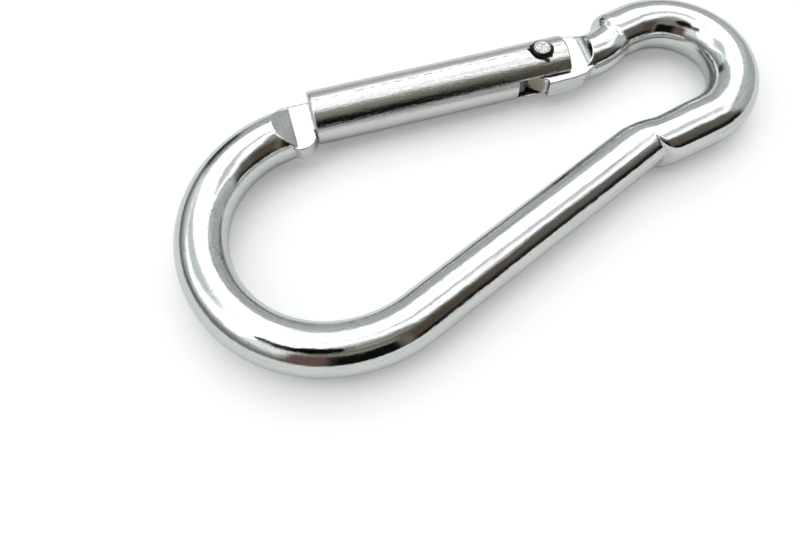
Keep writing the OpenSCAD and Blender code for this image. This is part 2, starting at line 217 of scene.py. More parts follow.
def eye_bar(xy, z):
    "the small eye's arc, its leg with the step at the end, and its rounded shoulder"
    eye = np.hypot(arc(xy, EYE_C, EYE_R, -np.pi / 2, np.pi / 2), z) - EYE_BAR_R
    swell = np.clip((xy[:, 0] - EYE_X + SWELL_FROM) / SWELL_L, 0, 1)
    radius = BAR_R + (EYE_BAR_R - BAR_R) * swell * swell * (3 - 2 * swell)
    leg = np.hypot(seg(xy, (EYE_X, -EYE_R), (EYE_X - LIP_BACK - LEG_BEYOND, -EYE_R)), z) - radius
    past = xy[:, 0] - LIP_C[0]
    step = np.hypot(past, xy[:, 1] - LIP_C[1]) - LIP_R
    step = np.where(past > 0, LIP_C[1] - LIP_R - xy[:, 1] - past * LIP_TAPER, step)
    leg = smax(leg, step, LIP_ROUND)
    axial = EYE_X - SHOULDER_BACK - xy[:, 0] + SHOULDER_ROUND
    radial = np.hypot(xy[:, 1] - EYE_R, z) - EYE_BAR_R + SHOULDER_ROUND
    end = (np.hypot(np.maximum(axial, 0), np.maximum(radial, 0))
           + np.minimum(np.maximum(axial, radial), 0) - SHOULDER_ROUND)
    shoulder = np.maximum(end, xy[:, 0] - EYE_X)
    return np.minimum(np.minimum(eye, leg), shoulder)


def neck_bar(xy, z):
    "the slim neck, from inside the eye's bar to just outside the gate's heel"
    run = np.minimum(arc(xy, EYE_C, EYE_R, NECK_FROM, np.pi / 2 + NECK_ANGLE - TILT),
                     arc(xy, NECK_C, NECK_R, 1.5 * np.pi - TILT, 1.5 * np.pi - TILT + NECK_ANGLE))
    start = PIN + (HEEL + NECK_END) * G - NECK_DROP * Q
    run = np.minimum(run, seg(xy, start, PIN + NECK_U * G - NECK_DROP * Q))
    return np.maximum(np.hypot(run, z) - NECK_BAR_R, (start - xy) @ G)


def bars(p):
    "the bent bar before its ends are flattened"
    xy, z = p[:, :2], p[:, 2]
    return smin(smin(spine_bar(xy, z), eye_bar(xy, z), EYE_FILLET), neck_bar(xy, z), NECK_FILLET)


def nose(f, p, u, q):
    "the flattened nose: the bar's end is bevelled down to a blade"
    az = np.abs(p[:, 2])
    bevel = (az - BLADE_HALF) * np.cos(BEVEL) + (u - FLAT_U) * np.sin(BEVEL)
    f = smax(f, np.minimum(bevel, az - BLADE_HALF + UNDER_FLAT), BEVEL_ROUND)
    f = smax(f, u - FOOT_BIG - NOSE_BAR, BAR_END_ROUND)
    bulge_u = NOSE_U - NOSE_PLAY - BULGE_R
    uq = np.stack([u, q], 1)
    plan = outline(uq, [
        [ROOT_U + ROOT_CUT[0], -BULGE_IN + ROOT_CUT[1]], [ROOT_U + ROOT_EDGE, -BULGE_IN],
        [bulge_u, -BULGE_IN], [bulge_u, BLADE_OUT],
        [ROOT_U + ROOT_CORNER[0], BLADE_OUT], [ROOT_U, BLADE_OUT - ROOT_CORNER[1]]])
    half = np.array([TIP_U - bulge_u + TIP_BACK, BLADE_IN + BLADE_OUT]) / 2
    d = np.abs(uq - [TIP_U - half[0], (BLADE_OUT - BLADE_IN) / 2]) - half + TIP_R
    tip = np.hypot(*np.maximum(d, 0).T) + np.minimum(d.max(1), 0) - TIP_R
    bulge = np.hypot(u - bulge_u, q + BULGE_IN - BULGE_R) - BULGE_R
    blade = smax(smin(np.minimum(plan, tip), bulge, BULGE_FILLET), az - BLADE_HALF, BLADE_ROUND)
    return smin(f, blade, FLAT_FILLET)


def tongue(f, p, u, q):
    "the flattened tongue: a hollow runs from its flat up to the round bar"
    az = np.abs(p[:, 2])
    ceiling = np.where(u < TONGUE_FLAT, az - TONGUE_HALF + UNDER_FLAT,
                       HOLLOW - np.hypot(u - TONGUE_FLAT, az - TONGUE_HALF - HOLLOW))
    ceiling = np.where(u > TONGUE_FLAT + HOLLOW + HOLLOW_END, -FAR, ceiling)
    f = np.where(u > 0, smax(f, ceiling, HOLLOW_ROUND), f)
    root = TONGUE_FLAT + HOLLOW + ROOT_RUN
    plan = outline(np.stack([u, q], 1), [
        [0, TONGUE_OUT], CAM, LOBE_FRONT, LOBE_LOW, [0, -TONGUE_IN + HEEL_DROP], [0, -TONGUE_IN],
        [HEEL, -TONGUE_IN + HEEL_RISE], [TONGUE_FLAT, -TONGUE_IN + FLAT_RISE], [root, -ROOT_IN],
        [root, ROOT_OUT], [HEEL + BROW_GAP, BROW_Q], [HEEL + BROW_GAP, TONGUE_OUT]])
    plan = np.minimum(plan, np.hypot(u, q) - TONGUE_OUT)
    f = smin(f, smax(plan, az - TONGUE_HALF, TONGUE_ROUND), FLAT_FILLET)
    return np.maximum(f, PIN_R + PIN_PLAY - np.hypot(u, q))


def body(p):
    "the one forged body"
    f = bars(p)
    u, q = gate_uv(p)
    for shape, at in ((nose, FLAT_U), (tongue, TONGUE_FLAT)):
        near = np.hypot(u - at, q) < END_REACH
        f[near] = shape(f[near], p[near], u[near], q[near])
    return f


def gate(p):
    "the tubular gate"
    u, q = gate_uv(p)
    z = p[:, 2]
    az, r = np.abs(z), np.hypot(q, z)
    hinge_slot = np.maximum(np.maximum(az - HINGE_SLOT, -HINGE_SLOT_L - u), q)
    nose_slot = np.maximum(np.maximum(az - NOSE_SLOT, u - NOSE_U - NOSE_SLOT_L), -BLADE_IN - q)
    f = smax(r - GATE_R, np.maximum(NOSE_U - u, u - HEEL), END_ROUND)
    f = smax(f, np.minimum(BORE_R - r, u - BORE_END), BORE_ROUND)
    f = smax(f, -hinge_slot, SLOT_ROUND)
    f = smax(f, -nose_slot, SLOT_ROUND)
    pin = np.hypot(u, q)
    f = smax(f, np.minimum(SEAT_R - pin, az - SEAT_Z), SEAT_ROUND)
    return np.maximum(f, PIN_R - pin)


def ripple(p, size):
    "the slight waviness of forged and plated metal"
    x, y, z = p.T
    wave = np.sin(0.83 * x + 0.4 * y + 1.3 * z) + np.sin(0.57 * y - 0.61 * x + 0.9 * z + 2)
    wave += 0.7 * np.sin(1.7 * x - 0.9 * y + 0.5 * z + 1) + 0.5 * np.sin(1.9 * y + 1.1 * x - 1.6 * z)
    return size * wave


def hook_shape(p):
    "the hook's body with its waviness"
    return body(p) + ripple(p, HOOK_WAVE)


def gate_shape(p):
    "the gate with its waviness, in the gate's own frame and drawn out along it"
    return gate(from_gate(p)) + ripple(p * [0.6, 1, 1], GATE_WAVE)


# Surfaces: one point in each cell that the shape's surface crosses, moved onto the surface

# Step for slopes, rounds of moving points, longest move in the plan, least squared slope counted
SLOPE_STEP, ROUNDS, LONGEST_MOVE, LEAST_SLOPE = 0.004, 4, 0.15, 0.2
# Most points worked out at once
BATCH = 200000


def slopes(shape, p):
    "value and gradient of a distance function"
    g = [(shape(p + step) - shape(p - step)) / (2 * SLOPE_STEP) for step in np.eye(3) * SLOPE_STEP]
    return shape(p), np.stack(g, 1)


def sampled(shape, axes, margin):
    "grid places and their values; a column whose foot lies past the margin counts as far away"
    grid = np.stack(np.meshgrid(*axes, indexing="ij"), -1)
    feet = grid[:, :, 0].reshape(-1, 3) * [1, 1, 0]
    near = (shape(feet) < margin).reshape(grid.shape[:2])
    value = np.full(grid.shape[:3], FAR)
    points = grid[near].reshape(-1, 3)
    parts = [shape(part) for part in np.array_split(points, len(points) // BATCH + 1)]
    value[near] = np.concatenate(parts).reshape(-1, len(axes[2]))
    return grid, value


def crossed_cells(inside):
    "the cells that the surface crosses, and a grid of their numbers"
    corners = [inside[i:inside.shape[0] - 1 + i, j:inside.shape[1] - 1 + j, k:inside.shape[2] - 1 + k]
               for i in (0, 1) for j in (0, 1) for k in (0, 1)]
    count = sum(corner.astype(np.int8) for corner in corners)
    cell = np.argwhere((count > 0) & (count < 8))
    index = np.full(count.shape, -1)
    index[tuple(cell.T)] = np.arange(len(cell))
    return cell, index


def cell_points(grid, value, cell):
    "the mean of the places where each cell's edges cross the surface"
    total, hits = np.zeros((len(cell), 3)), np.zeros(len(cell))
    for a in range(3):
        for i in (0, 1):
            for j in (0, 1):
                low = cell.copy()
                low[:, (a + 1) % 3] += i
                low[:, (a + 2) % 3] += j
                high = low.copy()
                high[:, a] += 1
                v0, v1 = value[tuple(low.T)], value[tuple(high.T)]
                cross = (v0 < 0) != (v1 < 0)
                t = (v0 / np.where(v0 == v1, 1, v0 - v1))[cross, None]
                total[cross] += (1 - t) * grid[tuple(low[cross].T)] + t * grid[tuple(high[cross].T)]
                hits[cross] += 1
    return total / hits[:, None]


def settled(shape, points):
    "the points moved onto the surface, and the outward directions there"
    for _ in range(ROUNDS):
        f, g = slopes(shape, points)
        move = (f / np.maximum((g * g).sum(1), LEAST_SLOPE))[:, None] * g
        share = np.minimum(1, LONGEST_MOVE / np.maximum(np.hypot(*move.T[:2]), 1e-9))
        points = points - move * share[:, None]
    g = slopes(shape, points)[1]
    return points, g / np.linalg.norm(g, axis=1)[:, None]


def cell_quads(inside, index):
    "a quad between the four cells round each grid edge that the surface crosses"
    quads = []
    for a in range(3):
        b, c = (a + 1) % 3, (a + 2) % 3
        first = np.moveaxis(inside, (a, b, c), (0, 1, 2))
        ids = np.moveaxis(index, (a, b, c), (0, 1, 2))
        for out in (False, True):
            edge = (first[:-1] != first[1:]) & (first[:-1] != out)
            i, j, k = np.argwhere(edge[:, 1:-1, 1:-1]).T
            ring = [ids[i, j, k], ids[i, j + 1, k], ids[i, j + 1, k + 1], ids[i, j, k + 1]]
            quads.append(np.stack(ring[::-1] if out else ring, 1))
    return np.concatenate(quads)


def surface(shape, axes, margin=1.0):
    "points, outward directions and quads of a shape's surface, on a boxed grid"
    grid, value = sampled(shape, axes, margin)
    inside = value < 0
    cell, index = crossed_cells(inside)
    points, normals = settled(shape, cell_points(grid, value, cell))
    return points, normals, cell_quads(inside, index)


def steps(*runs):
    "grid places: each run is an end and the step that leads to it, after the start"
    places = [np.array([runs[0]])]
    for end, step in runs[1:]:
        start = places[-1][-1]
        places.append(np.linspace(start, end, int(np.ceil((end - start) / step)) + 1)[1:])
    return np.concatenate(places)


def to_row(p):
    "from millimetres about the big bend's centre to metres in the row frame"
    return (p + [-MID[0], -MID[1], HEAD_Z]) / 1000


def from_gate(p):
    "from the gate's own frame to the hook's"
    xy = PIN + p[:, :1] * G + p[:, 1:2] * Q
    return np.concatenate([xy, p[:, 2:]], 1)


def add_piece(name, points, normals, faces, bar=None, worked=None):
    "an object from points in millimetres, with places in the bar and how far it is worked, if given"
    mesh = bpy.data.meshes.new(name)
    mesh.from_pydata(to_row(points).tolist(), [], faces if isinstance(faces, list) else faces.tolist())
    mesh.validate()
    mesh.shade_smooth()
    if normals is not None:
        mesh.normals_split_custom_set_from_vertices(normals.tolist())
    if bar is not None:
        layer = mesh.attributes.new("bar", "FLOAT_VECTOR", "POINT")
        layer.data.foreach_set("vector", bar.astype(np.float32).ravel())
        layer = mesh.attributes.new("worked", "FLOAT", "POINT")
        layer.data.foreach_set("value", worked.astype(np.float32))
    piece = bpy.data.objects.new(name, mesh)
    bpy.context.collection.objects.link(piece)
    return piece


# The bar's centreline in order: straights are their two ends, arcs centre, radius and two angles
TRACK = [
    (np.zeros(2), BIG_R, np.pi / 2 - TILT - 0.3, EASE_START),
    (EASE_C, EASE_R, EASE_START, EASE_START + EASE_ANGLE),
    (SPINE_S, SPINE_E),
    (HUMP_C, HUMP_R, np.pi / 2 + SPINE_A, np.pi / 2 - DIP_ANGLE),
    (DIP_C, DIP_R, 1.5 * np.pi - DIP_ANGLE, 1.5 * np.pi),
    (np.array([EYE_X - LEG_STRAIGHT, -EYE_R]), np.array([EYE_X, -EYE_R])),
    (EYE_C, EYE_R, -np.pi / 2, np.pi / 2 + NECK_ANGLE - TILT),
    (NECK_C, NECK_R, 1.5 * np.pi - TILT + NECK_ANGLE, 1.5 * np.pi - TILT),
    (PIN + NECK_U * G - NECK_DROP * Q, PIN - NECK_DROP * Q)]


def on_straight(xy, start, end):
    "offset outwards, place along, distance away and length, for a straight of the centreline"
    length = np.hypot(*(end - start))
    d = (end - start) / length
    w = xy - start
    along = np.clip(w @ d, 0, length)
    offset = w @ np.array([d[1], -d[0]])
    return offset, along, np.abs(offset) + np.abs(w @ d - along), length


def on_arc(xy, centre, r, first, last):
    "the same for an arc of the centreline"
    w = xy - centre
    way = np.sign(last - first)
    middle, half = (first + last) / 2, abs(last - first) / 2
    a = (np.arctan2(w[:, 1], w[:, 0]) - middle + np.pi) % (2 * np.pi) - np.pi
    held = np.clip(a, -half, half)
    offset = way * (np.hypot(*w.T) - r)
    return offset, r * (way * held + half), np.abs(offset) + r * np.abs(a - held), 2 * half * r


def track(p):
    "where a point lies in the bar: offset outwards, height, and length along the bar"
    best = np.full(len(p), 1e9)
    found = np.zeros((len(p), 3))
    so_far = 0.0
    for run in TRACK:
        place = on_straight if len(run) == 2 else on_arc
        offset, along, away, length = place(p[:, :2], *run)
        nearer = away < best
        best = np.where(nearer, away, best)
        row = np.stack([offset, p[:, 2], so_far + along], 1)
        found = np.where(nearer[:, None], row, found)
        so_far += length
    return found


def make_hook():
    "the forged body, on a grid that is finer over the nose, the hinge and the kink"
    coarse, fine = 0.6, 0.26
    along = steps(-33, (-5, coarse), (17, fine), (56, coarse), (84, fine), (109.5, coarse))
    across = steps(-33.5, (5, 0.38), (36, 0.32))
    points, normals, quads = surface(hook_shape, [along, across, steps(-6.3, (6.3, 0.315))])
    off_bar = 0.15
    worked = np.clip(np.abs(bars(points)) / off_bar, 0, 1)
    return add_piece("hook", points, normals, quads, track(points) / 1000, worked)


def make_tube():
    "the gate's tube, on a grid in its own frame that is finer at both ends and at the bore's end"
    along = steps(-55.5, (-47, 0.2), (-34, 0.7), (-32.5, 0.25), (-8, 0.7), (7, 0.2))
    across = steps(-6.6, (6.6, 0.27))
    points, normals, quads = surface(gate_shape, [along, across, across], FAR)
    normals = normals @ np.array([np.append(G, 0), np.append(Q, 0), [0, 0, 1]])
    return add_piece("gate_tube", from_gate(points), normals, quads)


def turned(profile, sides=96):
    "a turned piece about the rivet's axis, from radius and height"
    profile = np.array(profile)
    a = np.linspace(0, 2 * np.pi, sides, endpoint=False)
    r, z = profile[:, :1], profile[:, 1:]
    points = np.stack([r * np.cos(a), r * np.sin(a), z + 0 * a], -1).reshape(-1, 3)
    faces = []
    for i in range(len(profile) - 1):
        for k in range(sides):
            b = (k + 1) % sides
            faces.append([i * sides + k, i * sides + b, (i + 1) * sides + b, (i + 1) * sides + k])
    for i, last in ((0, False), (len(profile) - 1, True)):
        ring = [i * sides + k for k in range(sides)]
        faces.append(ring if last else ring[::-1])
    return points, faces


def rivet_profile():
    "from the lower head's middle up the outside to the upper head's middle"
    edge = HEAD_Z - 0.17
    shares = (0.01, 0.17, 0.35, 0.53, 0.7, 0.82, 0.91, 0.97)
    top = [(s * HEAD_FLAT_R, HEAD_Z - 0.03 * (1 - s**2)) for s in shares]
    bend = [(HEAD_FLAT_R, HEAD_Z - 0.02), (HEAD_FLAT_R + 0.07, HEAD_Z - 0.08),
            (HEAD_FLAT_R + 0.17, HEAD_Z - 0.14), (HEAD_FLAT_R + 0.32, edge - 0.07)]
    side = [(HEAD_R - 0.06, edge - 0.18), (HEAD_R, edge - 0.32), (HEAD_R, SEAT_Z + 0.1)]
    under = [(HEAD_R - 0.02, SEAT_Z + 0.04), (HEAD_R - 0.07, SEAT_Z + 0.01)]
    shank = [(PIN_R + 0.02, SEAT_Z + 0.01), (PIN_R - 0.005, SEAT_Z - 0.1)]
    half = top + bend + side + under + shank
    return [(r, -z) for r, z in half] + half[::-1]


def make_rivet():
    "the rivet, with shallow dents in its peened flats"
    points, faces = turned(rivet_profile())
    x, y, z = points.T
    fade = 0.3
    flat = np.clip((HEAD_FLAT_R - np.hypot(x, y)) / fade, 0, 1) * (np.abs(z) > SEAT_Z + fade)
    dents = np.sin(3.1 * x + 1) * np.sin(2.7 * y + 2) + 0.6 * np.sin(5.3 * x - 4.1 * y)
    depth = 0.02
    points[:, 2] -= np.sign(z) * depth * flat * (1.3 + dents)
    return add_piece("rivet_heads", from_gate(points), None, faces)


def make_spring():
    "the spring's wire, a closed tube from the plunger to the bore's end, with an end coil at each end"
    coil_steps, sides = 24, 10
    turns = np.linspace(0, COILS + 2, (COILS + 2) * coil_steps + 1)
    end_coil, rest = END_PITCH * WIRE_R, SPRING_L - 2 * WIRE_R - 2 * SPRING_GAP
    lift = np.interp(turns, [0, 1, COILS + 1, COILS + 2], [0, end_coil, rest - end_coil, rest])
    lift = lift[:, None] + SPRING_GAP + WIRE_R
    a = np.arange(sides) * 2 * np.pi / sides
    r = COIL_R + WIRE_R * np.cos(a) + 0 * lift
    u = BORE_END + SPRING_L - lift - WIRE_R * np.sin(a)
    spin = 2 * np.pi * turns[:, None]
    points = np.stack([u, r * np.sin(spin), r * np.cos(spin)], -1).reshape(-1, 3)
    k = np.arange(sides)
    rings = np.arange(len(turns) - 1)[:, None] * sides
    ahead = (k + 1) % sides
    walls = np.stack([rings + k, rings + ahead, rings + sides + ahead, rings + sides + k], -1)
    last = (len(turns) - 1) * sides
    faces = walls.reshape(-1, 4).tolist() + [k[::-1].tolist(), (last + k).tolist()]
    return add_piece("spring_coil", from_gate(points), None, faces)


hook, tube, rivet, spring = make_hook(), make_tube(), make_rivet(), make_spring()


# Shader helpers. Lengths in shaders are in metres.
MM = 0.001


def node(tree, kind, inputs=None, **settings):
    "a shader node with its settings, and its inputs linked or set"
    made = tree.nodes.new("ShaderNode" + kind)
    for key, value in settings.items():
        setattr(made, key, value)
    for key, value in (inputs or {}).items():
        if isinstance(value, bpy.types.NodeSocket):
            tree.links.new(value, made.inputs[key])
        else:
            made.inputs[key].default_value = value
    return made


def calc(tree, operation, a, b=0.0):
    "one step of arithmetic"
    return node(tree, "Math", {0: a, 1: b}, operation=operation).outputs[0]


def chain(tree, operation, first, *others):
    "the same step for several values in turn"
    for other in others:
        first = calc(tree, operation, first, other)
    return first


def ramp(tree, value, low, high, first=0.0, last=1.0):
    "a smooth step from first at low to last at high"
    inputs = {"Value": value, "From Min": low, "From Max": high, "To Min": first, "To Max": last}
    return node(tree, "MapRange", inputs, interpolation_type="SMOOTHSTEP").outputs[0]


def fall(tree, value, low, high, first=1.0):
    "a smooth step down to nothing"
    return ramp(tree, value, low, high, first, 0.0)


def window(tree, value, a, b, c, d):
    "one between b and c, nothing before a and after d"
    return calc(tree, "MULTIPLY", ramp(tree, value, a, b), fall(tree, value, c, d))


def blend(tree, factor, a, b):
    "from colour a to colour b"
    return node(tree, "Mix", {0: factor, 6: a, 7: b}, data_type="RGBA").outputs[2]


def noise(tree, vector, scale, detail=3.0, rough=0.5, stretch=(1, 1, 1)):
    "noise about 0.5, drawn out where stretch is small"
    mapped = node(tree, "Mapping", {"Vector": vector, "Scale": stretch}).outputs[0]
    inputs = {"Vector": mapped, "Scale": scale, "Detail": detail, "Roughness": rough}
    return node(tree, "TexNoise", inputs).outputs["Fac"]


def distance(tree, a, b):
    "distance from two offsets at right angles"
    squares = [calc(tree, "MULTIPLY", side, side) for side in (a, b)]
    return calc(tree, "SQRT", calc(tree, "ADD", *squares))


def rgb(red, green, blue):
    "a colour"
    return (red, green, blue, 1)


def grey(level, warm=0.0):
    "a grey, warmer when warm is above nothing"
    return (level * (1 + warm), level, level * (1 - warm), 1)


def make_material(name):
    "a metal with nothing set yet but its shader"
    material = bpy.data.materials.new(name)
    material.use_nodes = True
    tree = material.node_tree
    tree.nodes.clear()
    shader = node(tree, "BsdfPrincipled", {"Metallic": 1.0})
    output = node(tree, "OutputMaterial")
    tree.links.new(shader.outputs[0], output.inputs[0])
    return material, tree, shader


def bumped(tree, shader, height, distance):
    "fine relief on a shader"
    bump = node(tree, "Bump", {"Height": height, "Distance": distance, "Strength": 1.0})
    tree.links.new(bump.outputs[0], shader.inputs["Normal"])


def gate_vector(tree):
    "object coordinates turned to the gate: along it, outwards, and up, from the rivet"
    place = node(tree, "TexCoord").outputs["Object"]
    pin = to_row(np.array([[PIN[0], PIN[1], 0]]))[0]
    back = (-(pin[0] * G[0] + pin[1] * G[1]), -(pin[0] * Q[0] + pin[1] * Q[1]), -pin[2])
    inputs = {"Vector": place, "Location": back, "Rotation": (0, 0, TILT)}
    return node(tree, "Mapping", inputs).outputs[0]


# Materials


def pits(tree, place, bar):
    "groups of small pits on the inner side of the big bend"
    angle, offset, height = np.radians(158.54), -4.3, 3.74
    r = BIG_R + offset
    middle = to_row(np.array([[r * np.cos(angle), r * np.sin(angle), height]]))[0]
    away = node(tree, "VectorMath", {0: place, 1: tuple(middle)}, operation="DISTANCE").outputs["Value"]
    outwards = node(tree, "SeparateXYZ", {0: bar}).outputs[0]
    return chain(
        tree, "MULTIPLY",
        ramp(tree, noise(tree, bar, 3600, 3, 0.7, (1, 1, 0.7)), 0.55, 0.61),
        ramp(tree, noise(tree, bar, 420, 2, 0.5, (1, 1, 0.5)), 0.47, 0.56),
        fall(tree, away, 7 * MM, 12 * MM),
        window(tree, outwards, -4.8 * MM, -4.2 * MM, -2.8 * MM, -2.0 * MM))


def plating():
    "bright plating over a drawn and forged bar"
    material, tree, shader = make_material("bright_plating")
    place = node(tree, "TexCoord").outputs["Object"]
    bar = node(tree, "Attribute", attribute_name="bar").outputs["Vector"]
    worked = node(tree, "Attribute", attribute_name="worked").outputs["Fac"]
    streaks = noise(tree, bar, 1500, 4, 0.55, (1, 1, 0.02))
    lines = noise(tree, bar, 2600, 3, 0.5, (1, 1, 0.012))
    waves = noise(tree, bar, 160, 2, 0.4, (1, 1, 0.18))
    grains = noise(tree, bar, 2300, 3, 0.6, (1, 1, 0.45))
    specks = noise(tree, place, 2600, 2, 0.5)
    smudge = noise(tree, place, 90, 3, 0.55)
    u, q, z = node(tree, "SeparateXYZ", {0: gate_vector(tree)}).outputs
    # Painted shade: the bar inside the gate round the hinge is painted a dark brownish grey
    slot_shade = calc(tree, "MULTIPLY", window(tree, u, -6 * MM, -5 * MM, 5.5 * MM, 6.2 * MM),
                   fall(tree, distance(tree, q, z), 5.6 * MM, 6.2 * MM))
    tone = blend(tree, ramp(tree, smudge, 0.3, 0.75), rgb(0.70, 0.715, 0.705), rgb(0.655, 0.665, 0.655))
    tone = blend(tree, ramp(tree, specks, 0.64, 0.7), tone, rgb(0.45, 0.44, 0.42))
    tone = blend(tree, ramp(tree, lines, 0.58, 0.7, 0, 0.7), tone, rgb(0.40, 0.40, 0.39))
    tone = blend(tree, pits(tree, place, bar), tone, rgb(0.07, 0.07, 0.07))
    tone = blend(tree, slot_shade, tone, rgb(0.30, 0.28, 0.22))
    tree.links.new(tone, shader.inputs["Base Color"])
    rough = chain(tree, "ADD", ramp(tree, streaks, 0.35, 0.8, 0.03, 0.1),
                  ramp(tree, smudge, 0.5, 0.8, 0, 0.04), calc(tree, "MULTIPLY", worked, 0.1))
    tree.links.new(rough, shader.inputs["Roughness"])
    relief = ((streaks, 0.25), (waves, 1.3), (grains, 0.24))
    height = chain(tree, "ADD", *[calc(tree, "MULTIPLY", part, share) for part, share in relief])
    bumped(tree, shader, height, 0.07 * MM)
    return material


# Dark spots by the rivet's head: millimetres from the rivet, and stretch, each along the
# gate and then outwards
DARK_SPOTS = (((-2.9, 0.6), (1.0, 0.7)), ((0.4, -2.9), (1.1, 0.8)), ((1.5, -2.2), (0.8, 0.8)))


def ring_shade_and_spots(tree, place, u, q, z):
    """painted shade in an uneven dark ring round the rivet, with dark spots beside the upper head"""
    edge = noise(tree, place, 1100, 3, 0.6)
    uneven = calc(tree, "MULTIPLY", calc(tree, "SUBTRACT", edge, 0.5), 1.2 * MM)
    # Painted shade: the tube round the rivet's head is painted near black
    found = fall(tree, calc(tree, "ADD", distance(tree, u, q), uneven), 2.6 * MM, 2.9 * MM)
    upper = ramp(tree, z, 0, 1 * MM)
    for at, size in DARK_SPOTS:
        du = calc(tree, "DIVIDE", calc(tree, "SUBTRACT", u, at[0] * MM), size[0])
        dq = calc(tree, "DIVIDE", calc(tree, "SUBTRACT", q, at[1] * MM), size[1])
        spot = fall(tree, calc(tree, "ADD", distance(tree, du, dq), uneven), 0.4 * MM, 0.6 * MM)
        found = calc(tree, "MAXIMUM", found, calc(tree, "MULTIPLY", spot, upper))
    return found


def satin():
    """plated tube with a fine lengthwise grain, painted shade and dark spots round the rivet, painted shade
    in the bore and the nose slot, and a paler painted end face
    """
    material, tree, shader = make_material("satin_tube")
    place = gate_vector(tree)
    grain = noise(tree, place, 3600, 4, 0.65, (0.05, 1, 1))
    fleck = noise(tree, place, 3000, 3, 0.65, (0.22, 1, 1))
    cloud = noise(tree, place, 140, 3, 0.5, (0.4, 1, 1))
    u, q, z = node(tree, "SeparateXYZ", {0: place}).outputs
    from_axis = distance(tree, q, z)
    # Painted shade round the rivet's head, with dark spots beside it
    shade_and_spots = ring_shade_and_spots(tree, place, u, q, z)
    # A speckled line along the top, painted shade in the bore's inside and the nose slot, and painted light
    # on the tube's end face
    wander = calc(tree, "MULTIPLY", calc(tree, "SUBTRACT", cloud, 0.5), 1.2 * MM)
    trace = chain(tree, "MULTIPLY",
                  window(tree, calc(tree, "ADD", q, wander), -0.2 * MM, 0.0, 0.1 * MM, 0.3 * MM),
                  ramp(tree, z, 0, 1 * MM), ramp(tree, fleck, 0.46, 0.54))
    # Painted shade: the bore's inside is painted near black
    inside = fall(tree, from_axis, 5.3 * MM, 5.7 * MM, 0.85)
    # Painted shade: the nose slot's walls and the bore beside them are painted near black
    nose_slot_shade = chain(tree, "MULTIPLY",
                 fall(tree, calc(tree, "ABSOLUTE", z), 2.2 * MM, 2.6 * MM),
                 fall(tree, from_axis, 5.7 * MM, 5.9 * MM),
                 fall(tree, u, (NOSE_U + 5.4) * MM, (NOSE_U + 6) * MM))
    # Painted light: the tube's end face is painted paler than the tube, so the nose's bevel mirrors it
    # brighter
    end_face_light = fall(tree, u, (NOSE_U + 0.02) * MM, (NOSE_U + 0.1) * MM)
    tone = blend(tree, cloud, rgb(0.70, 0.705, 0.70), rgb(0.62, 0.62, 0.61))
    tone = blend(tree, ramp(tree, fleck, 0.6, 0.75), tone, rgb(0.45, 0.445, 0.43))
    tone = blend(tree, trace, tone, rgb(0.30, 0.30, 0.29))
    tone = blend(tree, inside, tone, rgb(0.10, 0.095, 0.08))
    tone = blend(tree, nose_slot_shade, tone, rgb(0.08, 0.075, 0.07))
    tone = blend(tree, end_face_light, tone, rgb(0.85, 0.86, 0.85))
    tone = blend(tree, shade_and_spots, tone, rgb(0.03, 0.026, 0.022))
    tree.links.new(tone, shader.inputs["Base Color"])
    rough = chain(tree, "ADD", ramp(tree, grain, 0.3, 0.75, 0.05, 0.12), calc(tree, "MULTIPLY", shade_and_spots, 0.35),
                  fall(tree, u, (NOSE_U + 0.12) * MM, (NOSE_U + 0.3) * MM, 0.55))
    tree.links.new(rough, shader.inputs["Roughness"])
    height = calc(tree, "ADD", calc(tree, "MULTIPLY", grain, 0.42), calc(tree, "MULTIPLY", fleck, 0.5))
    bumped(tree, shader, height, 0.07 * MM)
    return material


def rivet_look():
    """peened steel head: speckled in the middle, then a dark ring, a paler ring painted as a highlight, and
    painted shade over the head's edge and side
    """
    material, tree, shader = make_material("rivet_steel")
    place = gate_vector(tree)
    u, q, _ = node(tree, "SeparateXYZ", {0: place}).outputs
    speck = noise(tree, place, 2100, 4, 0.65)
    fine = noise(tree, place, 6000, 2, 0.6)
    uneven = calc(tree, "MULTIPLY", calc(tree, "SUBTRACT", speck, 0.5), 0.5 * MM)
    out = calc(tree, "ADD", distance(tree, u, q), uneven)
    # The rings lie just inside the edge of the head's flat, and the painted shade starts at it
    dark_ring = window(tree, out, 1.48 * MM, 1.55 * MM, 1.62 * MM, 1.68 * MM)
    # Painted highlight: a paler ring on the flat stands in for a groove catching the light
    pale_ring_highlight = window(tree, out, 1.66 * MM, 1.72 * MM, 1.8 * MM, 1.86 * MM)
    tone = blend(tree, ramp(tree, speck, 0.42, 0.62), rgb(0.74, 0.74, 0.725), rgb(0.34, 0.33, 0.32))
    tone = blend(tree, ramp(tree, fine, 0.56, 0.64), tone, rgb(0.09, 0.085, 0.08))
    tone = blend(tree, dark_ring, tone, rgb(0.16, 0.155, 0.15))
    tone = blend(tree, pale_ring_highlight, tone, rgb(0.55, 0.55, 0.53))
    # Painted shade: the head's rounded edge, side and underside are painted near black
    tone = blend(tree, ramp(tree, out, 1.82 * MM, 1.92 * MM), tone, rgb(0.03, 0.027, 0.024))
    tree.links.new(tone, shader.inputs["Base Color"])
    tree.links.new(ramp(tree, speck, 0.3, 0.7, 0.22, 0.42), shader.inputs["Roughness"])
    bumped(tree, shader, speck, 0.08 * MM)
    return material


def dull(name, clean, dark, rough, scale):
    "dull speckled metal"
    material, tree, shader = make_material(name)
    place = node(tree, "TexCoord").outputs["Object"]
    speck = noise(tree, place, scale, 4, 0.6)
    cloud = noise(tree, place, scale / 5, 2, 0.5)
    tone = blend(tree, ramp(tree, speck, 0.5, 0.68), grey(clean, 0.02), grey(dark, 0.08))
    tone = blend(tree, ramp(tree, cloud, 0.5, 0.75, 0, 0.5), tone, grey(dark * 0.6, 0.1))
    tree.links.new(tone, shader.inputs["Base Color"])
    tree.links.new(ramp(tree, speck, 0.3, 0.7, rough * 0.8, rough * 1.5), shader.inputs["Roughness"])
    bumped(tree, shader, speck, 0.05 * MM)
    return material


